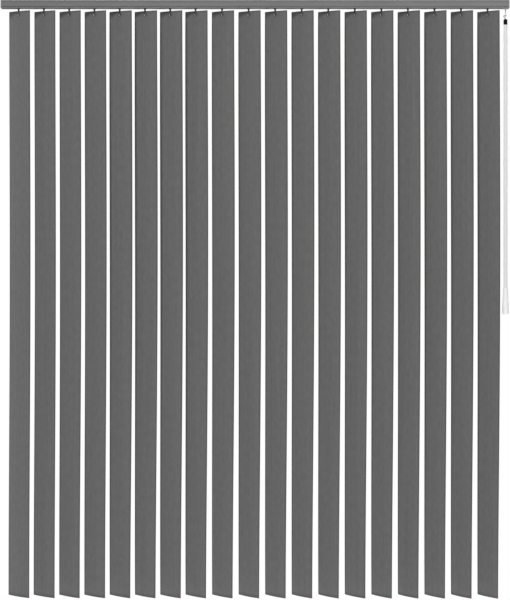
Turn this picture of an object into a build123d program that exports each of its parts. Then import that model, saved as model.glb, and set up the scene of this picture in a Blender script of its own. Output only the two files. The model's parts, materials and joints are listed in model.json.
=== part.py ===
"""Vertical blind worked by a wand.

A headrail hangs from three spring clips. Carriers run in it on small wheels, each with a hanger and a
curved slat, and a splined tilt rod turns every hanger through a worm.
Millimetres, +Z up, +X to the right as seen from the room, and the room on the -Y side.
The origin is the middle of the ceiling face of the middle clip, and everything hangs below it.
Depths are measured down from the top of the rail.
"""
import os
from math import cos, pi, sin

from build123d import *

# Whole blind
blind_width = 1540.0
drop = 1809.0
slat_count = 19

# Slats: stiff strips, bowed towards the room, with a punched hole near the top edge
slat_width = 89.0
slat_thickness = 0.6
slat_bow = 4.0
slat_top_gap = 7.4
hole_width = 7.4
hole_height = 5.0
hole_corner = 2.0
hole_edge = 8.0

# Turn of the slats from the plane of the blind: each lags a little, and those at the tail have slipped
lead_angle = 47.6
lag_angle = 10.7
tail_slats = 4
tail_angle = 38.9

# Spread of the slats along the rail: the links at the tail end are not drawn out all the way
lead_inset = 64.4
tail_inset = 52.8
slack_links = 7
slack_share = 0.952

# Headrail
rail_depth = 40.0
rail_height = 25.0
rail_wall = 1.4
rail_corner = 1.2
slot_width = 12.0
mouth_width = 12.0
channel_width = 17.0
channel_depth = 5.0
channel_wall = 1.2
groove_edge = 3.0
groove_width = 1.7
groove_depth = 0.6
fine_groove_width = 0.9
fine_groove_depth = 0.25
fine_groove_shares = (0.36, 0.5, 0.64)

# End caps
cap_thickness = 3.0
cap_corner = 1.2
cap_tongue_length = 10.0
cap_tongue_thickness = 2.0
cap_tongue_height = 7.0

# Ceiling clips
clip_plate = 1.5
clip_length = 38.0
clip_width = 26.0
clip_corner = 3.0
clip_leg_length = 12.0
clip_leg_thickness = 1.0
clip_foot = 2.2
clip_hole_diameter = 4.5
clip_hole_spacing = 24.0
clip_inset = 180.0

# Tilt rod
rod_diameter = 5.0
rod_flutes = 3
flute_width = 1.2
flute_depth = 0.6
rod_offset = 9.0
rod_level = 13.5
rod_seat_depth = 2.2
rod_end_gap = 0.2

# Fits
run_clearance = 0.3
push_clearance = 0.15
seat_clearance = 0.1
overrun = 1.0

# Carriers
carrier_length = 13.0
carrier_headroom = 2.2
carrier_floor_gap = 1.0
carrier_wall = 1.1
worm_diameter = 7.6
worm_root_diameter = 6.8
worm_length = 10.0
worm_threads = 4
worm_thread_share = 0.45
wheel_diameter = 6.4
wheel_width = 2.8
axle_diameter = 2.0
strap_width = 6.0
strap_thickness = 0.4
strap_foot = 4.5
strap_overlap = 4.0
strap_headroom = 1.3
strap_wall_gap = 1.6

# Hangers: pinion, neck, collar in the rail's slot, and two legs that take the slat between them
pinion_teeth = 16
pinion_height = 8.0
tooth_height = 0.6
tooth_share = 0.25
neck_diameter = 4.6
collar_diameter = 10.5
collar_lip = 0.6
taper_length = 3.4
taper_end_diameter = 5.4
leg_width = 5.0
leg_thickness = 1.2
front_leg_length = 6.0
back_leg_length = 14.0
nib_width = 3.0
nib_height = 2.4
nib_reach = 1.0

# Lead carrier of the wand and the arm that ties it to the last slat's carrier
wand_inset = 10.0
lead_end_gap = 1.0
lead_length = 30.0
lead_gear_length = 8.0
lead_gear_diameter = 8.6
arm_height = 4.0
arm_thickness = 4.0
arm_offset = 10.0
arm_level = 15.5

# Wand: spindle with an eye, wire hook, connector, rod and handle
spindle_teeth = 12
spindle_tail_diameter = 3.6
eye_level = 46.0
eye_diameter = 8.0
eye_bore = 3.4
eye_width = 3.2
wire_diameter = 2.0
wire_bend = 1.8
hook_tip = 3.6
hook_reach = 5.2
hook_drop = 4.0
hook_embed = 6.0
connector_level = 57.0
connector_length = 17.0
connector_plug = 15.0
wand_diameter = 12.0
wand_wall = 1.6
wand_length = 820.0
handle_length = 79.5
handle_top_diameter = 14.4
handle_end_diameter = 21.0
handle_socket = 22.0
handle_edge = 2.0

quarter_turn = 90
full_turn = 360

# Places that follow from the sizes
half_width = blind_width / 2
rail_end = half_width - cap_thickness
inner_side = rail_depth / 2 - rail_wall
slot_side = slot_width / 2
track_level = rail_height - rail_wall
links = slat_count - 1
pitch = (blind_width - lead_inset - tail_inset) / (links - slack_links + slack_links * slack_share)
carrier_top = channel_depth + channel_wall + carrier_headroom
carrier_bottom = track_level - carrier_floor_gap
worm_bore = worm_diameter / 2 + run_clearance
carrier_side = rod_offset + worm_bore + carrier_wall
rod_bore = rod_diameter / 2 + run_clearance
pinion_diameter = 2 * (rod_offset - worm_diameter / 2 - run_clearance)
pinion_top = rod_level - pinion_height / 2
pinion_bottom = rod_level + pinion_height / 2
chamber_floor = pinion_bottom + seat_clearance
collar_top = carrier_bottom + run_clearance
collar_bottom = rail_height + collar_lip
taper_bottom = collar_bottom + taper_length
slat_top = rail_height + slat_top_gap
hole_top = slat_top + hole_edge
leg_inner = slat_thickness / 2 + seat_clearance
leg_outer = leg_inner + leg_thickness
wand_x = half_width - wand_inset
lead_right = rail_end - lead_end_gap
lead_left = lead_right - lead_length
spindle_gear_diameter = 2 * (rod_offset - run_clearance) - lead_gear_diameter
wire_level = eye_level + (eye_bore - wire_diameter) / 2 - run_clearance


def level(depth):
    """Height of a depth below the rail's top."""
    return -clip_plate - depth


def slat_x(index):
    """Place of a slat's axis along the rail, counted from the tail."""
    slack = min(index, slack_links) * slack_share
    drawn = max(index - slack_links, 0)
    return tail_inset - half_width + pitch * (slack + drawn)


def slat_angle(index):
    """Turn of a slat from the plane of the blind."""
    if index < tail_slats:
        return tail_angle
    return lead_angle - lag_angle * (links - index) / (links - tail_slats)


def block(x_limits, y_limits, depth_limits):
    """Box between pairs of limits."""
    sizes = []
    middles = []
    for low, high in (x_limits, y_limits, depth_limits):
        sizes.append(high - low)
        middles.append((low + high) / 2)
    x, y, depth = middles
    return Pos(x, y, level(depth)) * Box(*sizes)


def post(x, y, diameter, depth_limits):
    """Upright cylinder."""
    top, bottom = depth_limits
    return Pos(x, y, level((top + bottom) / 2)) * Cylinder(diameter / 2, bottom - top)


def cone(x, top_diameter, bottom_diameter, depth_limits):
    """Upright round taper on the plane of the stems."""
    top, bottom = depth_limits
    shape = Cone(bottom_diameter / 2, top_diameter / 2, bottom - top)
    return Pos(x, 0, level((top + bottom) / 2)) * shape


def bar_along_rail(x_limits, y, depth, diameter):
    """Round bar along X."""
    left, right = x_limits
    lying = Rot(0, quarter_turn, 0) * Cylinder(diameter / 2, right - left)
    return Pos((left + right) / 2, y, level(depth)) * lying


def bar_across_rail(x, y_limits, depth, diameter):
    """Round bar along Y."""
    front, back = y_limits
    lying = Rot(quarter_turn, 0, 0) * Cylinder(diameter / 2, back - front)
    return Pos(x, (front + back) / 2, level(depth)) * lying


def strip(y_limits, depth_limits):
    """Rectangle of the rail's cross-section, with the rail's top at height zero."""
    left, right = y_limits
    top, bottom = depth_limits
    place = Pos((left + right) / 2, -(top + bottom) / 2)
    return place * Rectangle(right - left, bottom - top)


def along_rail(section, x_limits):
    """Cross-section carried along X."""
    left, right = x_limits
    plane = Plane(origin=(left, 0, level(0)), x_dir=(0, 1, 0), z_dir=(1, 0, 0))
    return extrude(plane * section, amount=right - left)


def toothed_section(diameter, teeth):
    """Spur gear outline with straight-sided teeth."""
    outer = diameter / 2
    root = outer - tooth_height
    step = 2 * pi / teeth
    points = []
    for tooth in range(teeth):
        for radius, turn in ((outer, 0), (root, step / 2)):
            for side in (-tooth_share, tooth_share):
                angle = step * tooth + turn + side * step
                points.append((radius * cos(angle), radius * sin(angle)))
    return make_face(Polyline(*points, close=True))


def fluted_section(diameter, gap):
    """Round outline with flutes, eased outwards by a gap."""
    section = Circle(diameter / 2 + gap)
    floor = diameter / 2 - flute_depth + gap
    wide = flute_width - 2 * gap
    reach = flute_depth + overrun
    for flute in range(rod_flutes):
        groove = Pos(floor + reach / 2, 0) * Rectangle(reach, wide)
        section -= Rot(0, 0, flute * full_turn / rod_flutes) * groove
    return section


def rail_outline(corner):
    """Outer outline of the rail."""
    return Pos(0, -rail_height / 2) * RectangleRounded(rail_depth, rail_height, corner)


def headrail():
    """Extrusion with a clip channel on top, a slot below and ribbed sides."""
    section = rail_outline(rail_corner)
    section -= strip((-inner_side, inner_side), (rail_wall, track_level))
    channel_side = channel_width / 2
    channel_outer = channel_side + channel_wall
    section += strip((-channel_outer, channel_outer), (rail_wall, channel_depth + channel_wall))
    section -= strip((-channel_side, channel_side), (rail_wall, channel_depth))
    section -= strip((-mouth_width / 2, mouth_width / 2), (-overrun, rail_wall))
    section -= strip((-slot_side, slot_side), (track_level, rail_height + overrun))
    grooves = [
        (groove_edge, groove_edge + groove_width, groove_depth),
        (rail_height - groove_edge - groove_width, rail_height - groove_edge, groove_depth),
    ]
    for share in fine_groove_shares:
        middle = share * rail_height
        half = fine_groove_width / 2
        grooves.append((middle - half, middle + half, fine_groove_depth))
    face = rail_depth / 2
    for top, bottom, deep in grooves:
        section -= strip((face - deep, face + overrun), (top, bottom))
        section -= strip((-face - overrun, deep - face), (top, bottom))
    return along_rail(section, (-rail_end, rail_end))


def end_cap(side):
    """Cap pushed into the rail's end, with a seat for the tilt rod. Side is -1 on the left, 1 on the right."""
    inner = side * rail_end
    outer = side * half_width
    plate = along_rail(rail_outline(cap_corner), sorted((inner, outer)))
    tip = inner - side * cap_tongue_length
    tongue_span = sorted((inner, tip))
    across = channel_width / 2 - push_clearance
    channel_limits = (rail_wall + push_clearance, channel_depth - push_clearance)
    cap = plate + block(tongue_span, (-across, across), channel_limits)
    tongue_top = carrier_top + run_clearance
    for edge in (-1, 1):
        wall = edge * (inner_side - push_clearance)
        y_span = sorted((wall, wall - edge * cap_tongue_thickness))
        cap += block(tongue_span, y_span, (tongue_top, tongue_top + cap_tongue_height))
    seat_span = sorted((inner - side * overrun, inner + side * rod_seat_depth))
    return cap - bar_along_rail(seat_span, rod_offset, rod_level, 2 * rod_bore)


def ceiling_clip(x):
    """Spring clip: a plate for two screws, with legs that turn out under the lips of the rail's channel."""
    plate = extrude(RectangleRounded(clip_length, clip_width, clip_corner), amount=-clip_plate)
    clip = Pos(x, 0) * plate
    leg_span = (x - clip_leg_length / 2, x + clip_leg_length / 2)
    lip_bottom = rail_wall + seat_clearance
    foot_bottom = lip_bottom + clip_leg_thickness
    for edge in (-1, 1):
        outer = edge * (mouth_width / 2 - push_clearance)
        inner = outer - edge * clip_leg_thickness
        toe = outer + edge * clip_foot
        clip += block(leg_span, sorted((inner, outer)), (0, foot_bottom))
        clip += block(leg_span, sorted((inner, toe)), (lip_bottom, foot_bottom))
    for hole in (-1, 1):
        place = x + hole * clip_hole_spacing / 2
        clip -= post(place, 0, clip_hole_diameter, (-clip_plate - overrun, overrun))
    return clip


def tilt_rod():
    """Fluted rod whose ends turn in the end caps."""
    end = rail_end + rod_seat_depth - rod_end_gap
    section = fluted_section(rod_diameter, 0)
    plane = Plane(origin=(-end, 0, level(0)), x_dir=(0, 1, 0), z_dir=(1, 0, 0))
    return extrude(plane * (Pos(rod_offset, -rod_level) * section), amount=2 * end)


def wheels_and_axles(x_places):
    """Four wheels on the track, and the stub axles that they turn on."""
    wheels = []
    axles = []
    wheel_level = track_level - seat_clearance - wheel_diameter / 2
    for x in x_places:
        for edge in (-1, 1):
            inner = edge * (carrier_side + run_clearance)
            outer = inner + edge * wheel_width
            root = edge * (carrier_side - carrier_wall)
            wheel = bar_across_rail(x, sorted((inner, outer)), wheel_level, wheel_diameter)
            through = sorted((inner - edge * overrun, outer + edge * overrun))
            bore = axle_diameter + 2 * seat_clearance
            wheels.append(wheel - bar_across_rail(x, through, wheel_level, bore))
            axles.append(bar_across_rail(x, sorted((root, outer)), wheel_level, axle_diameter))
    return wheels, axles


def worm():
    """Worm on the tilt rod, with its threads drawn as rings."""
    half = worm_length / 2
    shape = bar_along_rail((-half, half), rod_offset, rod_level, worm_root_diameter)
    step = worm_length / worm_threads
    for thread in range(worm_threads):
        middle = (2 * thread + 1) * step / 2 - half
        ridge = worm_thread_share * step / 2
        shape += bar_along_rail((middle - ridge, middle + ridge), rod_offset, rod_level, worm_diameter)
    return shape - bar_along_rail((-half - overrun, half + overrun), rod_offset, rod_level, 2 * rod_bore)


def rod_trough(x_limits, bore):
    """Room for something on the rod, open at the top so that it can be laid in."""
    trough = bar_along_rail(x_limits, rod_offset, rod_level, 2 * bore)
    y_span = (rod_offset - bore, rod_offset + bore)
    return trough + block(x_limits, y_span, (carrier_top - overrun, rod_level))


def gear_well(x, diameter):
    """Room for an upright gear, with a bearing for its neck below."""
    well = post(x, 0, diameter + 2 * run_clearance, (carrier_top - overrun, chamber_floor))
    bearing = neck_diameter + 2 * run_clearance
    return well + post(x, 0, bearing, (rod_level, carrier_bottom + overrun))


def carrier_housing():
    """Moulded body of a carrier, without its wheels."""
    half = carrier_length / 2
    body = block((-half, half), (-carrier_side, carrier_side), (carrier_top, carrier_bottom))
    room = worm_length / 2 + run_clearance
    body -= rod_trough((-room, room), worm_bore)
    body -= rod_trough((-half - overrun, half + overrun), rod_bore)
    return body - gear_well(0, pinion_diameter)


def spacer_strap(length):
    """Thin strap that rises from its foot on one carrier to pass over the next."""
    foot_start = -carrier_length / 2
    foot_end = foot_start + strap_foot
    low = level(carrier_top)
    high = level(rail_wall + strap_headroom + strap_thickness)
    bottom = [(foot_start, low), (foot_end, low), (length, high)]
    top = [(x, z + strap_thickness) for x, z in reversed(bottom)]
    outline = make_face(Polyline(*bottom, *top, close=True))
    front = strap_wall_gap - inner_side
    plane = Plane(origin=(0, front + strap_width, 0), x_dir=(1, 0, 0), z_dir=(0, -1, 0))
    return extrude(plane * outline, amount=strap_width)


def carrier():
    """Housing with its axles, worm and wheels, on the axis of its slat."""
    reach = (carrier_length - wheel_diameter) / 2
    wheels, axles = wheels_and_axles((-reach, reach))
    housing = carrier_housing()
    for axle in axles:
        housing += axle
    return [housing, worm(), *wheels]


def slat():
    """Curved strip along X, bowed towards the room, with a hole for the hanger's nib."""
    half = slat_width / 2
    front = -slat_thickness / 2
    back = slat_thickness / 2
    face = ThreePointArc((-half, front + slat_bow), (0, front), (half, front + slat_bow))
    rear = ThreePointArc((half, back + slat_bow), (0, back), (-half, back + slat_bow))
    ends = Line(face @ 1, rear @ 0) + Line(rear @ 1, face @ 0)
    section = Pos(0, 0, level(slat_top)) * make_face(face + rear + ends)
    sheet = extrude(section, amount=drop - slat_top, dir=(0, 0, -1))
    hole = RectangleRounded(hole_width, hole_height, hole_corner)
    middle = level(hole_top + hole_height / 2)
    plane = Plane(origin=(0, -slat_width / 2, middle), x_dir=(1, 0, 0), z_dir=(0, 1, 0))
    return sheet - extrude(plane * hole, amount=slat_width)


def hanger():
    """Pinion, neck, collar, taper and the two legs, with a nib through the slat's hole."""
    gear = extrude(toothed_section(pinion_diameter, pinion_teeth), amount=-pinion_height)
    shape = Pos(0, 0, level(pinion_top)) * gear
    shape += post(0, 0, neck_diameter, (pinion_bottom, collar_top))
    shape += post(0, 0, collar_diameter, (collar_top, collar_bottom))
    shape += cone(0, collar_diameter, taper_end_diameter, (collar_bottom, taper_bottom))
    bridge_bottom = slat_top - seat_clearance
    leg_span = (-leg_width / 2, leg_width / 2)
    shape += block(leg_span, (-leg_outer, leg_outer), (taper_bottom, bridge_bottom))
    shape += block(leg_span, (-leg_outer, -leg_inner), (bridge_bottom, slat_top + front_leg_length))
    shape += block(leg_span, (leg_inner, leg_outer), (bridge_bottom, slat_top + back_leg_length))
    nib_top = hole_top + seat_clearance
    nib_span = (-nib_width / 2, nib_width / 2)
    nib_front = -leg_outer - nib_reach
    return shape + block(nib_span, (nib_front, leg_inner), (nib_top, nib_top + nib_height))


def wand_carrier():
    """Lead carrier with room for the gear on the rod and the gear of the spindle."""
    limits = (lead_left, lead_right)
    body = block(limits, (-carrier_side, carrier_side), (carrier_top, carrier_bottom))
    room = lead_gear_length / 2 + run_clearance
    gear_bore = lead_gear_diameter / 2 + run_clearance
    body -= rod_trough((wand_x - room, wand_x + room), gear_bore)
    body -= rod_trough((lead_left - overrun, lead_right + overrun), rod_bore)
    body -= gear_well(wand_x, spindle_gear_diameter)
    reach = wheel_diameter / 2
    wheels, axles = wheels_and_axles((lead_left + reach, lead_right - reach))
    for axle in axles:
        body += axle
    return [body, *wheels]


def lead_arm():
    """Bar from the last slat's carrier to the lead carrier."""
    start = slat_x(links) + carrier_length / 2
    y_span = (-arm_offset - arm_thickness / 2, arm_thickness / 2 - arm_offset)
    depth_span = (arm_level - arm_height / 2, arm_level + arm_height / 2)
    return block((start, lead_left), y_span, depth_span)


def rod_gear():
    """Gear that slides along the tilt rod with the lead carrier and turns with it."""
    section = toothed_section(lead_gear_diameter, spindle_teeth)
    section -= fluted_section(rod_diameter, run_clearance)
    start = wand_x - lead_gear_length / 2
    plane = Plane(origin=(start, 0, level(0)), x_dir=(0, 1, 0), z_dir=(1, 0, 0))
    return extrude(plane * (Pos(rod_offset, -rod_level) * section), amount=lead_gear_length)


def wand_spindle():
    """Gear, neck and collar in the lead carrier, with a tail that ends in an eye."""
    gear = extrude(toothed_section(spindle_gear_diameter, spindle_teeth), amount=-pinion_height)
    shape = Pos(wand_x, 0, level(pinion_top)) * gear
    shape += post(wand_x, 0, neck_diameter, (pinion_bottom, collar_top))
    shape += post(wand_x, 0, collar_diameter, (collar_top, collar_bottom))
    shape += post(wand_x, 0, spindle_tail_diameter, (collar_bottom, eye_level))
    eye_span = (wand_x - eye_width / 2, wand_x + eye_width / 2)
    shape += bar_along_rail(eye_span, 0, eye_level, eye_diameter)
    bore_span = (wand_x - eye_width, wand_x + eye_width)
    return shape - bar_along_rail(bore_span, 0, eye_level, eye_bore)


def wand_hook():
    """Bent wire through the spindle's eye, set into the top of the connector."""
    bend_level = wire_level + hook_drop
    end_level = connector_level - wire_diameter
    corners = [
        (hook_tip, wire_level),
        (-hook_reach, wire_level),
        (-hook_reach, bend_level),
        (0, end_level),
        (0, connector_level + hook_embed),
    ]
    points = [(wand_x + x, 0, level(depth)) for x, depth in corners]
    path = FilletPolyline(*points, radius=wire_bend)
    start = Plane(origin=path @ 0, z_dir=path % 0)
    return sweep(start * Circle(wire_diameter / 2), path=path)


def wand_connector():
    """Sleeve on top of the rod, with a plug inside the tube and a hole for the hook."""
    shoulder = connector_level + connector_length
    plug_diameter = wand_diameter - 2 * wand_wall - 2 * push_clearance
    shape = post(wand_x, 0, wand_diameter, (connector_level, shoulder))
    shape += post(wand_x, 0, plug_diameter, (shoulder, shoulder + connector_plug))
    hole = wire_diameter + 2 * push_clearance
    hole_bottom = connector_level + hook_embed + push_clearance
    return shape - post(wand_x, 0, hole, (connector_level - overrun, hole_bottom))


def wand_rod():
    """Plain tube from the connector down into the handle."""
    top = connector_level + connector_length
    bottom = top + wand_length
    tube = post(wand_x, 0, wand_diameter, (top, bottom))
    bore = wand_diameter - 2 * wand_wall
    return tube - post(wand_x, 0, bore, (top - overrun, bottom + overrun))


def wand_handle():
    """Flared grip with a socket for the end of the rod."""
    rod_bottom = connector_level + connector_length + wand_length
    top = rod_bottom - handle_socket
    bottom = top + handle_length
    grip = cone(wand_x, handle_top_diameter, handle_end_diameter, (top, bottom))
    rim = grip.edges().group_by(Axis.Z)[0]
    grip = fillet(rim, handle_edge)
    socket = wand_diameter + 2 * push_clearance
    return grip - post(wand_x, 0, socket, (top - overrun, rod_bottom))


def write(name, *pieces):
    """One file for each node, with its pieces as separate solids."""
    solids = [solid for piece in pieces for solid in piece.solids()]
    shape = solids[0] if len(solids) == 1 else Compound(solids)
    export_step(shape, f"parts/{name}.step")


os.makedirs("parts", exist_ok=True)

write("headrail", headrail())
write("end_cap_left", end_cap(-1))
write("end_cap_right", end_cap(1))
clip_reach = half_width - clip_inset
for name, x in (("left", -clip_reach), ("middle", 0), ("right", clip_reach)):
    write(f"ceiling_clip_{name}", ceiling_clip(x))
write("tilt_rod", tilt_rod())

carrier_pieces = carrier()
slat_pieces = [slat(), hanger()]
for index in range(slat_count):
    place = Pos(slat_x(index), 0, 0)
    turned = place * Rot(0, 0, -slat_angle(index))
    own_pieces = list(carrier_pieces)
    if index < links:
        own_pieces.append(spacer_strap(pitch + strap_overlap))
    write(f"carrier_{index + 1:02d}", *[place * piece for piece in own_pieces])
    write(f"slat_{index + 1:02d}", *[turned * piece for piece in slat_pieces])

write("wand_carrier", *wand_carrier())
write("lead_arm", lead_arm())
write("rod_gear", rod_gear())
write("wand_spindle", wand_spindle())
write("wand_hook", wand_hook())
write("wand_connector", wand_connector())
write("wand_rod", wand_rod())
write("wand_handle", wand_handle())
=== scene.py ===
"""Vertical blind: smooth slats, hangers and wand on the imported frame, with finishes, studio and camera.

Sizes are in millimetres, as in the part's source, and meshes are written in metres.
Depths are measured down from the top of the headrail. The room is on the -Y side.
"""

import json

import bpy
import numpy as np
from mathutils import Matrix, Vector


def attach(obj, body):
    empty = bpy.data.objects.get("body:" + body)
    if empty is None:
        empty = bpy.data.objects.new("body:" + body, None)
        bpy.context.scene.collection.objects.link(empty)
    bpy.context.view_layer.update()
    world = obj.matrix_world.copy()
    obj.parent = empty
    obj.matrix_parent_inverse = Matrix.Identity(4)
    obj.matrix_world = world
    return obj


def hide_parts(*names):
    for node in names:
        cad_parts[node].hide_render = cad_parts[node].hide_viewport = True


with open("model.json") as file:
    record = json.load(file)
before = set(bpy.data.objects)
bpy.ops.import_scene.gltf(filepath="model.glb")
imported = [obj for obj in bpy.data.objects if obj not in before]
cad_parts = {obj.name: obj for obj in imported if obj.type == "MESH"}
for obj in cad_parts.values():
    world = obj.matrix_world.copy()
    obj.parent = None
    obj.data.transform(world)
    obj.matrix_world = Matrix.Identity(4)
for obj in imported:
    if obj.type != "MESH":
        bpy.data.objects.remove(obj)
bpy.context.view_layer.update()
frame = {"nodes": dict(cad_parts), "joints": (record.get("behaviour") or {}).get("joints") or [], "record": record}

MM = 0.001

# Whole blind, as in the part's source
SLATS = 19
LINKS = SLATS - 1
DROP = 1809.0
LEAD_ANGLE = 47.6
LAG_ANGLE = 10.7
TAIL_SLATS = 4
TAIL_ANGLE = 38.9
CLIP_PLATE = 1.5
SEAT_CLEARANCE = 0.1
RUN_CLEARANCE = 0.3

# Headrail and the grooves where painted shade darkens its sides, with the half height of its painted highlight, a
# pale upper band, as a share of the edge above the first groove
RAIL_HEIGHT = 25.0
GROOVE_EDGE = 3.0
GROOVE_WIDTH = 1.7
FINE_GROOVE_STEP = 3.5
FINE_GROOVE_WIDTH = 0.9
TOP_HIGHLIGHT_SHARE = 0.48

# Slats, their punched holes, and the bands along their edges that are coloured darker
SLAT_WIDTH = 89.0
SLAT_THICKNESS = 0.6
SLAT_BOW = 4.0
SLAT_TOP_GAP = 7.4
SLAT_TOP = RAIL_HEIGHT + SLAT_TOP_GAP
SLAT_LENGTH = DROP - SLAT_TOP
BOW_RADIUS = ((SLAT_WIDTH / 2) ** 2 + SLAT_BOW ** 2) / (2 * SLAT_BOW)
HALF_CUT = BOW_RADIUS * np.arcsin(SLAT_WIDTH / 2 / BOW_RADIUS)
HOLE_HALF_WIDTH = 3.7
HOLE_HALF_HEIGHT = 2.5
HOLE_EDGE = 8.0
HOLE_DOWN = HOLE_EDGE + HOLE_HALF_HEIGHT
HOLE_SQUARENESS = 4.5
EDGE_BAND = 5.4
HEM_BAND = 9.0
# Twist of a hanging slat in degrees: factors of a cubic in its share of the length, less at the tail
TWIST = (-12.1, 27.0, -9.8)
TAIL_TWIST_SHARES = (0.0, 0.0, 0.4, 0.4)
# Sideways curve of a hanging slat, as the factors of the square, cube and fourth power of that share
SWAY = (33.5, -76.4, 40.7)
# Mesh of a slat: a square patch round the hole, lines down the slat beside it, and rows down to the hem
HOLE_PATCH = 14.0
HOLE_CELLS = 8
HOLE_RING_SHARES = (0.0, 0.1, 0.3, 0.62, 1.0)
SLAT_LINES = (HOLE_PATCH, 19.0, 24.0, 29.0, 34.0, 38.5, 41.3, 43.4)
SLAT_ROWS = 46
HEM_ROWS = (12.0, 3.5, 1.2, 0.0)
# Decimals of a millimetre to which its points are merged
MERGE_DECIMALS = 4
# Step from slat to slat in the grain of their finish, in metres
GRAIN_STEP = 0.37

# Geared posts of hangers and spindle: gear, neck, collar and the taper below it
GEAR_TOP = 9.5
GEAR_FOOT = 17.5
PINION_RADIUS = 4.6
PINION_TEETH = 16
SPINDLE_GEAR_RADIUS = 4.1
SPINDLE_TEETH = 12
TOOTH_HALF = 0.3
TOOTH_SLOPE = 1.8
TOOTH_STEPS = 4
TOOTH_SHARES = (0.5, 1.0, 1.0, 0.5)
GEAR_EASE = 0.5
RIM_EASE = 0.3
NECK_RADIUS = 2.3
COLLAR_TOP = 22.9
COLLAR_FOOT = 25.3
COLLAR_RADIUS = 5.25
STEM_FOOT = 29.6
STEM_STEPS = 7

# Hangers below the collar
STEM_RADIUS = 2.6
STEM_POWER = 1.9
BRIDGE_HEIGHT = 3.7
LEG_WIDTH = 5.0
LEG_THICKNESS = 1.2
LEG_OFFSET = SLAT_THICKNESS / 2 + SEAT_CLEARANCE + LEG_THICKNESS / 2
FRONT_LEG = 6.0
BACK_LEG = 14.0
NIB_HALF_WIDTH = 1.5
NIB_HALF_HEIGHT = 1.2
NIB_REACH = 1.0
TIP_ROUND = 0.4
BAR_SQUARENESS = 5.0
BAR_STEPS = 20

# Wand's spindle, eye and hook
WAND_X = 760.0
SHANK_RADIUS = 1.8
SHANK_POWER = 2.4
SHANK_FLARE = 2.4
SHANK_FOOT_RADIUS = 2.2
EYE_DEPTH = 46.0
EYE_RADIUS = 4.0
EYE_BORE = 1.7
EYE_HALF_WIDTH = 1.6
EYE_SINK = 0.9
WIRE_RADIUS = 1.0
WIRE_END_SHARE = 0.7
WIRE_STEPS = 16
HOOK_TIP = 3.6
HOOK_REACH = 5.2
HOOK_DROP = 4.0
HOOK_EMBED = 6.0
BEND_CUT = 1.9
BEND_STEPS = 9

# Wand's sleeve, rod and grip
ROD_RADIUS = 6.0
ROD_BORE = 4.4
ROD_EASE = 0.4
ROD_STEPS = 20
SLEEVE_TOP = 57.0
SLEEVE_FOOT = 74.0
DOME_RADIUS = 3.3
DOME_HEIGHT = 3.6
SLEEVE_GROOVES = (7.9, 13.1)
SLEEVE_GROOVE_HALF = 0.7
SLEEVE_GROOVE_DEPTH = 0.3
PLUG_RADIUS = 4.25
PLUG_FOOT = 89.0
PLUG_EASE = 0.8
RINGS = 4
RING_STEPS = 8
RING_DEPTH = 0.5
RINGS_GAP = 2.0
RINGS_LENGTH = 19.0
RINGS_TOP = SLEEVE_FOOT + RINGS_GAP
RINGS_FOOT = RINGS_TOP + RINGS_LENGTH
ROD_FOOT = 894.0
GRIP_TOP = 872.0
GRIP_FOOT = 951.5
GRIP_TOP_RADIUS = 7.2
GRIP_FOOT_RADIUS = 10.5
SOCKET_RADIUS = 6.15
LIP_RADIUS = 6.5
LIP_ROLL = 0.3
LIP_HEIGHT = 2.0
FLARE_POWER = 1.1
FLARE_STEPS = 16
GRIP_RIM_RADIUS = 8.4
GRIP_RIM_HEIGHT = 2.9
DISH_DEPTH = 1.7
DISH_POWER = 3
DISH_STEPS = 6
CORE_RADIUS = 0.3

# Points round a post and along a quarter circle
ROUND_STEPS = 48
QUARTER_STEPS = 4

# Edges sharper than this, in degrees, aren't smoothed
SHARP_ANGLE = 38.0

# Finishes: how many lumps of a noise go to a metre, along each axis
SLAT_STREAKS = (150.0, 1.4, 0.0)
SLAT_FINE_STREAKS = (520.0, 4.0, 0.0)
SLAT_MOTTLE = (90.0, 45.0, 0.0)
SLAT_RIBS = (1500.0, 40.0, 0.0)
MOULDED_CLOUD = (55.0, 55.0, 55.0)
MOULDED_TEXTURE = (420.0, 420.0, 420.0)
METAL_CLOUD = (9.0, 40.0, 40.0)
RAIL_LINES = (2.0, 1400.0, 1400.0)
ROD_LINES = (3.0, 1600.0, 1600.0)
WIRE_LINES = (900.0, 900.0, 30.0)
PLATE_PATCHES = (160.0, 160.0, 160.0)
WAND_LINES = (700.0, 700.0, 5.0)
WAND_CLOUD = (60.0, 60.0, 18.0)
FLOOR_CLOUD = (3.0, 3.0, 3.0)
# Full height of their fine relief, in metres
FINE_RELIEF = 0.0002
PLATE_RELIEF = 0.0003
# Paleness at a slat's very edge, as a share of that inside
EDGE_PALENESS = 0.1

# Studio, in metres, with each light's place, aim, size and power
WHITE = (1.0, 1.0, 1.0, 1.0)
CAMERA_PLACE = (0.0, -6.0, -0.6466)
CAMERA_LENS = 118.64
CAMERA_SHIFT = -0.145
FLOOR_LEVEL = -2.3
FLOOR_RADIUS = 1.9
FLOOR_CORE = 0.002
FLOOR_FADE_SHARES = (0.62, 0.98)
FLOOR_RINGS = 12
FLOOR_STEPS = 96
WORLD_LIGHT = 0.16
LIGHTS = {
    "key": ((-1.4, -5.2, 2.9), (0.0, 0.0, -0.5), 1.2, 222.0),
    "low": ((-1.2, -5.6, -1.7), (0.0, 0.0, -1.2), 1.6, 108.0),
    "right": ((2.8, -3.6, 0.7), (0.7, 0.0, -0.3), 1.2, 28.0),
    "back": ((-0.5, 4.5, 2.0), (0.0, 0.0, -0.9), 2.4, 175.0),
    "top": ((0.0, 0.5, 3.2), (0.0, 0.5, 0.0), 3.8, 62.0),
}

# Place along the rail of the line that each slat turns about
STEM_X = {
    joint["child"]: joint["pos_m"][0] / MM
    for joint in frame["joints"] if joint["name"].startswith("tilt")
}


def level(depth):
    """Height of a depth below the rail's top."""
    return -CLIP_PLATE - np.asarray(depth, dtype=float)


def slat_name(index):
    """Name of a slat's node and body, counted from the tail."""
    return f"slat_{index + 1:02d}"


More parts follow.
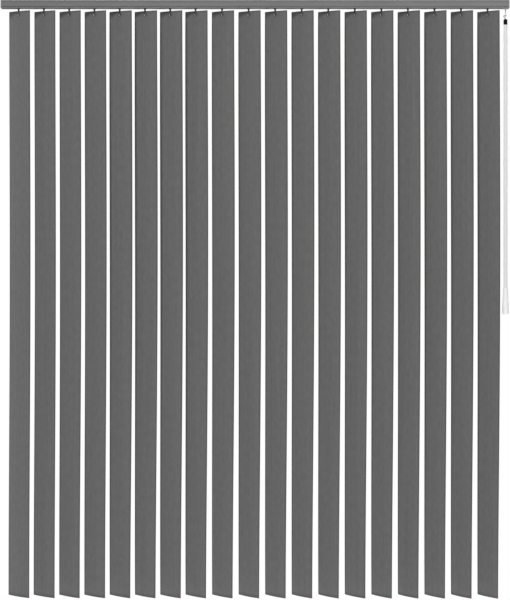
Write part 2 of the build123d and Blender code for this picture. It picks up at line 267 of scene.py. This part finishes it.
def slat_angle(index):
    """Turn of a slat from the plane of the blind, in degrees."""
    if index < TAIL_SLATS:
        return TAIL_ANGLE
    return LEAD_ANGLE - LAG_ANGLE * (LINKS - index) / (LINKS - TAIL_SLATS)


def full_turn(steps):
    """Angles evenly spaced round a circle."""
    return np.linspace(0, 2 * np.pi, steps, endpoint=False)


def quarter_turn():
    """Angles from zero to a right angle, with both ends."""
    return np.linspace(0, np.pi / 2, QUARTER_STEPS)


def grid_quads(rows, columns, wrap_rows=False, wrap_columns=False):
    """Quads of a grid of points counted row by row, whose last row or column can join the first."""
    corner = np.arange(rows * columns).reshape(rows, columns)
    if wrap_columns:
        corner = np.concatenate([corner, corner[:, :1]], axis=1)
    if wrap_rows:
        corner = np.concatenate([corner, corner[:1]], axis=0)
    around = [corner[:-1, :-1], corner[:-1, 1:], corner[1:, 1:], corner[1:, :-1]]
    return np.stack(around, axis=-1).reshape(-1, 4)


def outward(points, quads):
    """The same closed skin with its faces outwards: the sum of its corner volumes is then positive."""
    a, b, c, d = (points[quads[:, corner]] for corner in range(4))
    volume = (a * np.cross(b, c)).sum() + (a * np.cross(c, d)).sum()
    return points, quads if volume > 0 else quads[:, ::-1]


def skin(rings, closed=False):
    """Profile rings carried along a path, joined ring to ring.

    An open path ends in caps, each a ladder of quads between the two halves of its ring. A closed one
    joins its last ring to its first.
    """
    stations, around = rings.shape[:2]
    quads = [grid_quads(stations, around, wrap_rows=closed, wrap_columns=True)]
    if not closed:
        rung = np.arange(around // 2 - 1)
        ladder = np.stack([rung, rung + 1, around - 2 - rung, around - 1 - rung], axis=-1)
        quads += [ladder[:, ::-1], ladder + (stations - 1) * around]
    return outward(rings.reshape(-1, 3), np.concatenate(quads))


def joined(*skins):
    """Several skins as one list of points and one of quads."""
    starts = np.cumsum([0] + [len(points) for points, _ in skins[:-1]])
    points = np.concatenate([points for points, _ in skins])
    return points, np.concatenate([quads + start for start, (_, quads) in zip(starts, skins)])


def turned(profile, teeth=0, tooth_shares=()):
    """Round post: at each (depth, radius) of the profile, a circle of that radius about a vertical line.

    At the profile's first points a flattened cosine wave, for the teeth, is added to the radius in
    shares.
    """
    depth, radius = np.array(profile, dtype=float).T
    tooth = np.zeros(len(depth))
    tooth[:len(tooth_shares)] = tooth_shares
    turn = full_turn(max(ROUND_STEPS, TOOTH_STEPS * teeth))
    wave = np.clip(TOOTH_SLOPE * np.cos(teeth * turn), -1, 1)
    reach = radius[:, None] + TOOTH_HALF * tooth[:, None] * wave
    height = np.broadcast_to(level(depth)[:, None], reach.shape)
    return np.stack([reach * np.cos(turn), reach * np.sin(turn), height], axis=-1)


def quarter_arc(side, face):
    """Quarter ellipse of a profile, from a (depth, radius) on a side to one on an end face."""
    turn = quarter_turn()
    depth = side[0] + (face[0] - side[0]) * np.sin(turn)
    radius = face[1] + (side[1] - face[1]) * np.cos(turn)
    return list(zip(depth, radius))


def superellipse():
    """Rounded square of half size one: a cosine and a sine, each raised to a power with its sign kept."""
    turn = full_turn(BAR_STEPS)
    return [np.sign(wave) * np.abs(wave) ** (2 / BAR_SQUARENESS) for wave in (np.cos(turn), np.sin(turn))]


def tipped_bar(root, tip, middle, half):
    """Superellipse carried along a line from a root to a tip, which a quarter circle rounds off.

    Its middle and half size are given in the two directions across the line.
    """
    turn = quarter_turn()
    along = np.append(root, tip + np.sign(root - tip) * TIP_ROUND * (1 - np.sin(turn)))[:, None]
    inset = np.append(0.0, TIP_ROUND * (1 - np.cos(turn)))[:, None]
    u, v = superellipse()
    first = middle[0] + (half[0] - inset) * u
    second = middle[1] + (half[1] - inset) * v
    return np.stack([first, second, np.broadcast_to(along, first.shape)], axis=-1)


def rounded_route(corners, cut):
    """Route through corners, each rounded by a parabola that meets its two runs at a set distance."""
    corners = np.array(corners, dtype=float)
    runs = np.diff(corners, axis=0)
    runs /= np.linalg.norm(runs, axis=1)[:, None]
    inner = corners[1:-1, None]
    before, after = inner - cut * runs[:-1, None], inner + cut * runs[1:, None]
    t = np.linspace(0, 1, BEND_STEPS)[None, :, None]
    bends = (1 - t) ** 2 * before + 2 * t * (1 - t) * inner + t ** 2 * after
    return np.concatenate([corners[:1], bends.reshape(-1, 3), corners[-1:]])


def wire_rings(route, radius):
    """Circles of a wire about a route in the XZ plane, square to the route, and smaller at its ends."""
    along = np.gradient(route, axis=0)
    along /= np.linalg.norm(along, axis=1)[:, None]
    plane_normal = np.array([0.0, 1.0, 0.0])
    across = np.cross(along, plane_normal)
    turn = full_turn(WIRE_STEPS)[None, :, None]
    reach = np.full(len(route), radius)
    reach[[0, -1]] *= WIRE_END_SHARE
    circle = across[:, None] * np.cos(turn) + plane_normal * np.sin(turn)
    return route[:, None] + reach[:, None, None] * circle


def slat_cut():
    """Flat cut of a slat as points (across, down) and quads.

    Rings lead from the outline of the hole, a superellipse, to a square patch round it. Strips beside the
    patch and a plain grid below it make up the rest.
    """
    step = np.linspace(-1, 1, HOLE_CELLS + 1)[:-1]
    one = np.ones(HOLE_CELLS)
    sides = [(step, -one), (one, step), (-step, one), (-one, -step)]
    square = np.concatenate([np.stack(side, axis=-1) for side in sides])
    outer = HOLE_PATCH * square + (0, HOLE_PATCH)
    ray = outer - (0, HOLE_DOWN)
    stretch = np.abs(ray / (HOLE_HALF_WIDTH, HOLE_HALF_HEIGHT)) ** HOLE_SQUARENESS
    hole = (0, HOLE_DOWN) + ray / stretch.sum(axis=1, keepdims=True) ** (1 / HOLE_SQUARENESS)
    share = np.array(HOLE_RING_SHARES)[:, None, None]
    rings = hole + share * (outer - hole)

    side = np.array((*SLAT_LINES, HALF_CUT))
    patch = np.linspace(-HOLE_PATCH, HOLE_PATCH, HOLE_CELLS + 1)
    beside = np.linspace(0, 2 * HOLE_PATCH, HOLE_CELLS + 1)
    below = np.linspace(2 * HOLE_PATCH, SLAT_LENGTH - 2 * HEM_ROWS[0], SLAT_ROWS)
    below = np.concatenate([below, SLAT_LENGTH - np.array(HEM_ROWS)])
    every = np.concatenate([-side[::-1], patch[1:-1], side])

    points = [rings.reshape(-1, 2)]
    quads = [grid_quads(len(rings), len(square), wrap_columns=True)]
    for rows, columns in ((beside, -side[::-1]), (beside, side), (below, every)):
        down, across = np.meshgrid(rows, columns, indexing="ij")
        quads.append(grid_quads(len(rows), len(columns)) + sum(map(len, points)))
        points.append(np.stack([across, down], axis=-1).reshape(-1, 2))
    points = np.round(np.concatenate(points), MERGE_DECIMALS)
    points, merged = np.unique(points, axis=0, return_inverse=True)
    quads = merged.reshape(-1)[np.concatenate(quads)]

    # Quads that run the other way round are turned over
    x, y = points[quads].transpose(2, 0, 1)
    area = (x * np.roll(y, -1, axis=1) - y * np.roll(x, -1, axis=1)).sum(axis=1)
    quads[area < 0] = quads[area < 0, ::-1]
    return points, quads


def edge_share(cut):
    """How far inside the cut each point is: the least of its distances from the sides, the top and the
    hole, as a share of the edge band, and from the foot, as a share of the hem band."""
    across, down = cut.T
    hole = np.hypot(across / HOLE_HALF_WIDTH, (down - HOLE_DOWN) / HOLE_HALF_HEIGHT)
    inset = [HALF_CUT - np.abs(across), down, HOLE_HALF_HEIGHT * (hole - 1)]
    hem = (SLAT_LENGTH - down) / HEM_BAND
    return np.clip(np.minimum(np.min(inset, axis=0) / EDGE_BAND, hem), 0, 1)


def slat_skin(cut, quads, index):
    """A hanging slat: the cut bent to an arc across, twisted by a cubic and swayed by a quartic down it.

    Two such faces a little apart give it its thickness, with a rim along every open edge of the cut.
    """
    across, down = cut.T
    share = down / SLAT_LENGTH
    amount = TAIL_TWIST_SHARES[index] if index < TAIL_SLATS else 1.0
    twist = amount * np.polyval((*TWIST[::-1], 0), share)
    sway = np.polyval((*SWAY[::-1], 0, 0), share)
    turn = -np.radians(slat_angle(index) + twist)
    faces = []
    for offset in (SLAT_THICKNESS / 2, -SLAT_THICKNESS / 2):
        reach = BOW_RADIUS + offset
        x = reach * np.sin(across / BOW_RADIUS)
        y = BOW_RADIUS - reach * np.cos(across / BOW_RADIUS)
        side = STEM_X[slat_name(index)] + sway + x * np.cos(turn) - y * np.sin(turn)
        back = x * np.sin(turn) + y * np.cos(turn)
        faces.append(np.stack([side, back, level(SLAT_TOP + down)], axis=-1))
    count = len(cut)
    start, end = quads.reshape(-1), np.roll(quads, -1, axis=1).reshape(-1)
    rim = ~np.isin(start * count + end, end * count + start)
    start, end = start[rim], end[rim]
    walls = np.stack([end, start, start + count, end + count], axis=-1)
    return outward(np.concatenate(faces), np.concatenate([quads, quads[:, ::-1] + count, walls]))


def geared_post(gear_radius, foot_radius, power):
    """Profile of a gear with eased rims, a neck and a collar, drawn in below, where the radius falls to
    that of the foot as a power of the share of the way that is left."""
    share = np.linspace(0, 1, STEM_STEPS)
    drawn_depth = COLLAR_FOOT + (STEM_FOOT - COLLAR_FOOT) * share
    drawn_radius = foot_radius + (COLLAR_RADIUS - foot_radius) * (1 - share) ** power
    return [
        (GEAR_TOP, gear_radius - GEAR_EASE), (GEAR_TOP + RIM_EASE, gear_radius),
        (GEAR_FOOT - RIM_EASE, gear_radius), (GEAR_FOOT, gear_radius - GEAR_EASE),
        (GEAR_FOOT, NECK_RADIUS), (COLLAR_TOP, NECK_RADIUS),
        (COLLAR_TOP, COLLAR_RADIUS - RIM_EASE), (COLLAR_TOP + RIM_EASE, COLLAR_RADIUS),
        *zip(drawn_depth, drawn_radius),
    ]


def hanger_skin(index):
    """Round post with the pinion, and the bridge, two legs and nib as bars with rounded tips, turned with
    the slat about its stem."""
    post = turned(geared_post(PINION_RADIUS, STEM_RADIUS, STEM_POWER), PINION_TEETH, TOOTH_SHARES)
    top = level(SLAT_TOP)
    root = top + LEG_THICKNESS
    half_depth = LEG_OFFSET + LEG_THICKNESS / 2
    half_leg = (LEG_WIDTH / 2, LEG_THICKNESS / 2)
    nib_level = top - HOLE_EDGE - SEAT_CLEARANCE - NIB_HALF_HEIGHT
    half_nib = (NIB_HALF_WIDTH, NIB_HALF_HEIGHT)
    bridge = tipped_bar(top + SEAT_CLEARANCE, top + BRIDGE_HEIGHT, (0, 0), (LEG_WIDTH / 2, half_depth))
    front = tipped_bar(root, top - FRONT_LEG, (0, -LEG_OFFSET), half_leg)
    back = tipped_bar(root, top - BACK_LEG, (0, LEG_OFFSET), half_leg)
    nib = tipped_bar(LEG_OFFSET, -half_depth - NIB_REACH, (0, nib_level), half_nib)[..., [0, 2, 1]]
    points, quads = joined(*(skin(rings) for rings in (post, bridge, front, back, nib)))
    turn = -np.radians(slat_angle(index))
    x, y, z = points.T
    side = STEM_X[slat_name(index)] + x * np.cos(turn) - y * np.sin(turn)
    return np.stack([side, x * np.sin(turn) + y * np.cos(turn), z], axis=-1), quads


def at_wand(points, quads):
    """A skin about the vertical line through the origin, moved to the wand's line."""
    return points + (WAND_X, 0, 0), quads


def spindle_skin():
    """Round post with the wand's gear and a shank, and an eye: a superellipse carried round a circle."""
    shank_foot = EYE_DEPTH - EYE_RADIUS + EYE_SINK
    shank = [(shank_foot - SHANK_FLARE, SHANK_RADIUS), (shank_foot, SHANK_FOOT_RADIUS)]
    profile = geared_post(SPINDLE_GEAR_RADIUS, SHANK_RADIUS, SHANK_POWER) + shank
    u, v = superellipse()
    turn = full_turn(ROUND_STEPS)[:, None]
    reach = (EYE_RADIUS + EYE_BORE) / 2 + (EYE_RADIUS - EYE_BORE) / 2 * u
    side = np.broadcast_to(EYE_HALF_WIDTH * v, (ROUND_STEPS, BAR_STEPS))
    eye = np.stack([side, reach * np.cos(turn), level(EYE_DEPTH) + reach * np.sin(turn)], axis=-1)
    post = turned(profile, SPINDLE_TEETH, TOOTH_SHARES)
    return at_wand(*joined(skin(post), skin(eye, closed=True)))


def hook_skin():
    """Bent wire from the eye, where it hangs in the bore, to the inside of the sleeve: circles carried
    along a route with rounded corners."""
    hung = EYE_DEPTH + EYE_BORE - WIRE_RADIUS - RUN_CLEARANCE
    corners = [
        (HOOK_TIP, hung), (-HOOK_REACH, hung), (-HOOK_REACH, hung + HOOK_DROP),
        (0.0, SLEEVE_TOP - 2 * WIRE_RADIUS), (0.0, SLEEVE_TOP + HOOK_EMBED),
    ]
    route = rounded_route([(x, 0.0, level(depth)) for x, depth in corners], BEND_CUT)
    return at_wand(*skin(wire_rings(route, WIRE_RADIUS)))


def sleeve_skin():
    """Sleeve with a domed shoulder, a quarter ellipse, two shallow grooves and a plug below."""
    dome = quarter_arc((SLEEVE_TOP + DOME_HEIGHT, ROD_RADIUS), (SLEEVE_TOP, DOME_RADIUS))
    profile = [(SLEEVE_TOP, WIRE_RADIUS), *reversed(dome)]
    groove_floor = ROD_RADIUS - SLEEVE_GROOVE_DEPTH
    for down in SLEEVE_GROOVES:
        middle = SLEEVE_TOP + down
        profile += [
            (middle - SLEEVE_GROOVE_HALF, ROD_RADIUS), (middle - SLEEVE_GROOVE_HALF / 2, groove_floor),
            (middle + SLEEVE_GROOVE_HALF / 2, groove_floor), (middle + SLEEVE_GROOVE_HALF, ROD_RADIUS),
        ]
    profile += [
        (SLEEVE_FOOT - ROD_EASE, ROD_RADIUS), (SLEEVE_FOOT, ROD_RADIUS - ROD_EASE),
        (SLEEVE_FOOT, PLUG_RADIUS), (PLUG_FOOT - PLUG_EASE, PLUG_RADIUS),
        (PLUG_FOOT, PLUG_RADIUS - PLUG_EASE),
    ]
    return at_wand(*skin(turned(profile)))


def tube_skin():
    """Tube of the rod: its wall's section turned about the line, with a few shallow rings pressed in
    below the sleeve, each a dip of one cosine wave."""
    share = np.linspace(0, 1, RING_STEPS * RINGS + 1)
    ringed = RINGS_TOP + (RINGS_FOOT - RINGS_TOP) * share
    dip = RING_DEPTH * (1 - np.cos(2 * np.pi * RINGS * share)) / 2
    straight = np.linspace(RINGS_FOOT, ROD_FOOT - ROD_EASE, ROD_STEPS)[1:]
    profile = [
        (SLEEVE_FOOT, ROD_BORE),
        (SLEEVE_FOOT, ROD_RADIUS - ROD_EASE), (SLEEVE_FOOT + ROD_EASE, ROD_RADIUS),
        *zip(ringed, ROD_RADIUS - dip), *((depth, ROD_RADIUS) for depth in straight),
        (ROD_FOOT, ROD_RADIUS - ROD_EASE), (ROD_FOOT, ROD_BORE),
    ]
    return at_wand(*skin(turned(profile), closed=True))


def grip_skin():
    """Grip with a socket: from the socket's floor up to a rolled lip, down a flare that widens as a power
    of its length, round a rim that is a quarter ellipse, and into an end dished by a cubic of the
    radius."""
    flare_top, flare_foot = GRIP_TOP + LIP_HEIGHT, GRIP_FOOT - GRIP_RIM_HEIGHT
    share = np.linspace(0, 1, FLARE_STEPS)
    flare_depth = flare_top + (flare_foot - flare_top) * share
    flare_radius = GRIP_TOP_RADIUS + (GRIP_FOOT_RADIUS - GRIP_TOP_RADIUS) * share ** FLARE_POWER
    dish_radius = np.linspace(GRIP_RIM_RADIUS, CORE_RADIUS, DISH_STEPS)
    dish_depth = GRIP_FOOT - DISH_DEPTH * (1 - (dish_radius / GRIP_RIM_RADIUS) ** DISH_POWER)
    lip = (GRIP_TOP, LIP_RADIUS)
    profile = [
        (ROD_FOOT, CORE_RADIUS), (ROD_FOOT, SOCKET_RADIUS),
        *quarter_arc((GRIP_TOP + LIP_ROLL, SOCKET_RADIUS), lip)[:-1],
        *reversed(quarter_arc((flare_top, GRIP_TOP_RADIUS), lip)),
        *list(zip(flare_depth, flare_radius))[1:-1],
        *quarter_arc((flare_foot, GRIP_FOOT_RADIUS), (GRIP_FOOT, GRIP_RIM_RADIUS)),
        *list(zip(dish_depth, dish_radius))[1:],
    ]
    return at_wand(*skin(turned(profile)))


class Value:
    """A node's output, such as a number that varies over a surface. Its arithmetic adds Math nodes."""

    def __init__(self, nodes, socket):
        self.nodes = nodes
        self.socket = socket

    def math(self, operation, first, second):
        """Result of a Math node."""
        return self.nodes.add("Math", {"operation": operation}, {0: first, 1: second})

    def __add__(self, other):
        return self.math("ADD", self, other)

    def __sub__(self, other):
        return self.math("SUBTRACT", self, other)

    def __rsub__(self, other):
        return self.math("SUBTRACT", other, self)

    def __mul__(self, other):
        return self.math("MULTIPLY", self, other)

    __radd__ = __add__
    __rmul__ = __mul__

    def most(self, other):
        """The larger of two."""
        return self.math("MAXIMUM", self, other)

    def size(self):
        """The number without its sign."""
        return self.math("ABSOLUTE", self, 0.0)


class Nodes:
    """A node tree that is filled through one method."""

    # Sockets of a Mix node that take and give colours
    MIX_FIRST = 6
    MIX_SECOND = 7
    MIX_RESULT = 2

    def __init__(self, tree):
        self.tree = tree
        tree.nodes.clear()

    def add(self, kind, settings=None, sockets=None, output=0):
        """Adds a node, sets its settings, then the values or links of its sockets. Returns one output."""
        node = self.tree.nodes.new("ShaderNode" + kind)
        for key, value in (settings or {}).items():
            setattr(node, key, value)
        for key, value in (sockets or {}).items():
            if isinstance(value, Value):
                self.tree.links.new(value.socket, node.inputs[key])
            else:
                node.inputs[key].default_value = value
        return Value(self, node.outputs[output]) if node.outputs else None

    def scaled(self, vector, factors):
        """A vector stretched along its axes."""
        return self.add("VectorMath", {"operation": "MULTIPLY"}, {0: vector, 1: factors})

    def noise(self, vector, detail=2.0):
        """Cloudy values about one half, one lump to a unit."""
        sockets = {"Vector": vector, "Scale": 1.0, "Detail": detail, "Roughness": 0.5}
        return self.add("TexNoise", {"noise_dimensions": "3D"}, sockets)

    def near(self, value, middle, reach):
        """One where a value is within reach of a middle, and zero elsewhere."""
        return self.add("Math", {"operation": "COMPARE"}, {0: value, 1: middle, 2: reach})

    def blend(self, share, first, second):
        """Colour between two, by a share."""
        ends = {0: share, self.MIX_FIRST: (*first, 1.0), self.MIX_SECOND: (*second, 1.0)}
        return self.add("Mix", {"data_type": "RGBA", "clamp_factor": True}, ends, output=self.MIX_RESULT)

    def bumped(self, height, strength, distance):
        """Normal of a surface with fine relief, whose full height is the distance in metres."""
        return self.add("Bump", None, {"Height": height, "Strength": strength, "Distance": distance})


def grey(value, warm=0.0):
    """Neutral colour, a little warmer or cooler."""
    return (value * (1 + warm), value, value * (1 - warm))


def new_finish(name, surface):
    """Material whose surface sockets are given by a function of its nodes."""
    material = bpy.data.materials.new(name)
    material.use_nodes = True
    nodes = Nodes(material.node_tree)
    shader = nodes.add("BsdfPrincipled", None, surface(nodes))
    nodes.add("OutputMaterial", None, {"Surface": shader})
    return material


def slat_surface(nodes):
    """Matte vinyl: long streaks, a soft mottle, fine ribs along it, and darker bands along its edges."""
    grain = nodes.add("UVMap", {"uv_map": "grain"})
    edge = nodes.add("Attribute", {"attribute_name": "edge"}, output="Fac")
    broad = nodes.noise(nodes.scaled(grain, SLAT_STREAKS))
    fine = nodes.noise(nodes.scaled(grain, SLAT_FINE_STREAKS))
    mottle = nodes.noise(nodes.scaled(grain, SLAT_MOTTLE))
    streak = 0.24 * broad + 0.2 * fine + 0.3 * mottle + 0.13
    relief = nodes.noise(nodes.scaled(grain, SLAT_RIBS))
    pale = streak * (EDGE_PALENESS + (1 - EDGE_PALENESS) * edge)
    return {
        "Base Color": nodes.blend(pale, grey(0.06), grey(0.2)),
        "Roughness": 0.5 + 0.16 * fine, "Specular IOR Level": 0.35, "Diffuse Roughness": 1.0,
        "Normal": nodes.bumped(relief + 0.5 * fine, strength=0.22, distance=FINE_RELIEF),
    }


def moulded_surface(dark, light, roughness, shine=0.5):
    """Moulded plastic: a faint cloud in its colour, a fine texture and a slightly uneven gloss."""
    def surface(nodes):
        place = nodes.add("TexCoord", output="Object")
        cloud = nodes.noise(nodes.scaled(place, MOULDED_CLOUD))
        texture = nodes.noise(nodes.scaled(place, MOULDED_TEXTURE), detail=3.0)
        return {
            "Base Color": nodes.blend(0.7 * cloud + 0.3 * texture, dark, light),
            "Roughness": roughness + 0.12 * (texture - 0.5) + 0.08 * (cloud - 0.5),
            "Specular IOR Level": shine,
            "Normal": nodes.bumped(texture, strength=0.12, distance=FINE_RELIEF),
        }
    return surface


def drawn_surface(dark, light, roughness, metallic, stretch):
    """Drawn or extruded metal: long fine lines along it, in its colour, gloss and relief."""
    def surface(nodes):
        place = nodes.add("TexCoord", output="Object")
        lines = nodes.noise(nodes.scaled(place, stretch), detail=3.0)
        cloud = nodes.noise(nodes.scaled(place, METAL_CLOUD))
        return {
            "Base Color": nodes.blend(0.65 * lines + 0.35 * cloud, dark, light),
            "Roughness": roughness + 0.2 * (lines - 0.5), "Metallic": metallic,
            "Normal": nodes.bumped(lines, strength=0.1, distance=FINE_RELIEF),
        }
    return surface


def rail_surface(nodes):
    """Satin extrusion: fine lines along it, with painted shade in the grooves of its sides, a painted highlight
    along its top edge, and painted light that turns it paler towards the wand's end."""
    place = nodes.add("TexCoord", output="Object")
    lines = nodes.noise(nodes.scaled(place, RAIL_LINES), detail=3.0)
    cloud = nodes.noise(nodes.scaled(place, METAL_CLOUD))
    # Painted light: the colour grows paler along X, towards the wand's end, as if lit from that side
    along = nodes.add("SeparateXYZ", None, {0: place}, output="X")
    height = nodes.add("SeparateXYZ", None, {0: place}, output="Z")
    middle = float(level(RAIL_HEIGHT / 2)) * MM
    from_middle = (height - middle).size()
    groove_place = (RAIL_HEIGHT / 2 - GROOVE_EDGE - GROOVE_WIDTH / 2) * MM
    # Painted shade: the colour is darker in the side grooves and in the fine grooves
    groove_shade = nodes.near(from_middle, groove_place, GROOVE_WIDTH / 2 * MM)
    fine = nodes.near(from_middle, FINE_GROOVE_STEP * MM, FINE_GROOVE_WIDTH / 2 * MM)
    # Painted highlight: a pale band along the rail's top edge
    top_edge_highlight = nodes.near(height, float(level(GROOVE_EDGE / 2)) * MM, TOP_HIGHLIGHT_SHARE * GROOVE_EDGE * MM)
    share = 0.4 * lines + 0.2 * cloud + 0.2 * along + 0.3 * top_edge_highlight - 0.5 * groove_shade - 0.3 * fine + 0.335
    return {
        "Base Color": nodes.blend(share, grey(0.004), grey(0.205)),
        "Roughness": 0.42 + 0.2 * (lines - 0.5), "Metallic": 0.2, "Specular IOR Level": 0.3,
        "Normal": nodes.bumped(lines, strength=0.1, distance=FINE_RELIEF),
    }


def plated_surface(nodes):
    """Zinc plate: soft pale patches with a faint tint."""
    place = nodes.add("TexCoord", output="Object")
    patch = nodes.noise(nodes.scaled(place, PLATE_PATCHES), detail=4.0)
    return {
        "Base Color": nodes.blend(patch, (0.3, 0.31, 0.33), (0.5, 0.5, 0.49)),
        "Roughness": 0.4 + 0.25 * patch, "Metallic": 1.0,
        "Normal": nodes.bumped(patch, strength=0.06, distance=PLATE_RELIEF),
    }


def wand_surface(dark, light, roughness, through):
    """Extruded milky plastic: faint lines along it under a glossy face."""
    def surface(nodes):
        place = nodes.add("TexCoord", output="Object")
        lines = nodes.noise(nodes.scaled(place, WAND_LINES))
        cloud = nodes.noise(nodes.scaled(place, WAND_CLOUD))
        return {
            "Base Color": nodes.blend(0.5 * lines + 0.5 * cloud, dark, light),
            "Roughness": roughness + 0.14 * (cloud - 0.5), "Diffuse Roughness": 1.0,
            "Coat Weight": 0.15, "Coat Roughness": 0.2, "Transmission Weight": through, "IOR": 1.46,
            "Normal": nodes.bumped(lines, strength=0.05, distance=FINE_RELIEF),
        }
    return surface


FINISHES = {
    "slat_vinyl": slat_surface,
    "hanger_plastic": moulded_surface(grey(0.03), grey(0.05), roughness=0.42),
    "rail_aluminium": rail_surface,
    "cap_plastic": moulded_surface(grey(0.15), grey(0.21), roughness=0.45),
    "clip_steel": plated_surface,
    "rod_aluminium": drawn_surface(grey(0.62), grey(0.8), roughness=0.32, metallic=1.0, stretch=ROD_LINES),
    "carrier_plastic": moulded_surface(grey(0.66, warm=0.01), grey(0.8, warm=0.01), roughness=0.45),
    "eye_plastic": moulded_surface(grey(0.55), grey(0.68), roughness=0.4),
    "hook_wire": drawn_surface(grey(0.012), grey(0.03), roughness=0.45, metallic=0.3, stretch=WIRE_LINES),
    "connector_plastic": moulded_surface(grey(0.003), grey(0.007), roughness=0.4, shine=0.05),
    "wand_plastic": wand_surface(grey(0.78), grey(0.85), roughness=0.36, through=0.08),
    "handle_plastic": wand_surface(grey(0.9), grey(0.96), roughness=0.42, through=0.15),
}
finishes = {slot: new_finish(slot, surface) for slot, surface in FINISHES.items()}


def new_piece(name, skinned, slot, body, node):
    """Mesh object of a skin, smooth with hard edges kept, that rides on a body and stands for a node."""
    points, quads = skinned
    mesh = bpy.data.meshes.new(name)
    mesh.from_pydata((points * MM).tolist(), [], quads.tolist())
    mesh.polygons.foreach_set("use_smooth", np.ones(len(quads), dtype=bool))
    mesh.set_sharp_from_angle(angle=np.radians(SHARP_ANGLE))
    mesh.materials.append(finishes[slot])
    piece = bpy.data.objects.new(name, mesh)
    bpy.context.scene.collection.objects.link(piece)
    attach(piece, body)
    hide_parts(node)
    return piece


cut, cut_quads = slat_cut()
edge = edge_share(cut)
for index in range(SLATS):
    node = slat_name(index)
    hanger = new_piece(node.replace("slat", "hanger"), hanger_skin(index), "hanger_plastic", node, node)
    skinned = slat_skin(cut, cut_quads, index)
    vane = new_piece(node.replace("slat", "vane"), skinned, "slat_vinyl", node, node)
    # The grain is a corner's place on the flat cut, moved on from slat to slat
    grain = (cut * MM + (GRAIN_STEP * index, 0.0))[skinned[1].reshape(-1) % len(cut)]
    vane.data.uv_layers.new(name="grain").data.foreach_set("uv", grain.reshape(-1))
    vane.data.attributes.new("edge", "FLOAT", "POINT").data.foreach_set("value", np.tile(edge, 2))

new_piece("wand_eye", spindle_skin(), "eye_plastic", "spindle", "wand_spindle")
new_piece("wand_wire", hook_skin(), "hook_wire", "wand", "wand_hook")
new_piece("wand_sleeve", sleeve_skin(), "connector_plastic", "wand", "wand_connector")
new_piece("wand_tube", tube_skin(), "wand_plastic", "wand", "wand_rod")
new_piece("wand_grip", grip_skin(), "handle_plastic", "wand", "wand_handle")

for row in frame["record"]["subparts"]:
    for place in frame["nodes"][row["node"]].material_slots:
        place.material = finishes[row["material_slot"]]


def floor_surface(nodes):
    """Pale floor whose rim fades away."""
    place = nodes.add("TexCoord", output="Object")
    flat_place = nodes.scaled(place, (1.0, 1.0, 0.0))
    reach = nodes.add("VectorMath", {"operation": "LENGTH"}, {0: flat_place}, output="Value")
    start, end = (share * FLOOR_RADIUS for share in FLOOR_FADE_SHARES)
    fade = nodes.add("MapRange", {"interpolation_type": "SMOOTHSTEP"}, {
        "Value": reach, "From Min": start, "From Max": end, "To Min": 1.0, "To Max": 0.0,
    })
    cloud = nodes.noise(nodes.scaled(place, FLOOR_CLOUD))
    return {"Base Color": nodes.blend(cloud, grey(0.88), grey(0.92)), "Roughness": 0.75, "Alpha": fade}


def new_floor():
    """Disc on a polar grid: rings of growing radius, from a small one at the middle."""
    turn = full_turn(FLOOR_STEPS)
    reach = np.linspace(FLOOR_CORE, FLOOR_RADIUS, FLOOR_RINGS)[:, None]
    height = np.full((FLOOR_RINGS, FLOOR_STEPS), FLOOR_LEVEL)
    points = np.stack([reach * np.cos(turn), reach * np.sin(turn), height], axis=-1).reshape(-1, 3)
    mesh = bpy.data.meshes.new("floor")
    quads = grid_quads(FLOOR_RINGS, FLOOR_STEPS, wrap_columns=True)
    mesh.from_pydata(points.tolist(), [], quads.tolist())
    mesh.materials.append(new_finish("floor", floor_surface))
    floor = bpy.data.objects.new("floor", mesh)
    bpy.context.scene.collection.objects.link(floor)


def new_light(name, place, aim, size, power):
    """Square soft light that looks at a point."""
    lamp = bpy.data.lights.new(name, "AREA")
    lamp.shape = "SQUARE"
    lamp.size = size
    lamp.energy = power
    light = bpy.data.objects.new(name, lamp)
    light.location = place
    light.rotation_euler = (Vector(aim) - Vector(place)).to_track_quat("-Z", "Y").to_euler()
    bpy.context.scene.collection.objects.link(light)


def light_world():
    """Even soft light, and a white background for the camera, reflections and what shows through."""
    world = bpy.data.worlds.new("studio")
    world.use_nodes = True
    nodes = Nodes(world.node_tree)
    seen = nodes.add("LightPath", output="Is Camera Ray")
    seen = seen.most(nodes.add("LightPath", output="Is Glossy Ray"))
    seen = seen.most(nodes.add("LightPath", output="Is Transmission Ray"))
    even = nodes.add("Background", None, {"Color": WHITE, "Strength": WORLD_LIGHT})
    white = nodes.add("Background", None, {"Color": WHITE, "Strength": 1.0})
    mixed = nodes.add("MixShader", None, {0: seen, 1: even, 2: white})
    nodes.add("OutputWorld", None, {"Surface": mixed})
    bpy.context.scene.world = world


def new_camera():
    """Level camera in front of the blind, about a third of the way down it."""
    lens = bpy.data.cameras.new("camera")
    lens.lens = CAMERA_LENS
    lens.shift_y = CAMERA_SHIFT
    camera = bpy.data.objects.new("camera", lens)
    camera.location = CAMERA_PLACE
    camera.rotation_euler = (np.pi / 2, 0.0, 0.0)
    bpy.context.scene.collection.objects.link(camera)
    bpy.context.scene.camera = camera


new_floor()
light_world()
for name, setting in LIGHTS.items():
    new_light(name, *setting)
new_camera()
bpy.context.scene.view_settings.view_transform = "Standard"
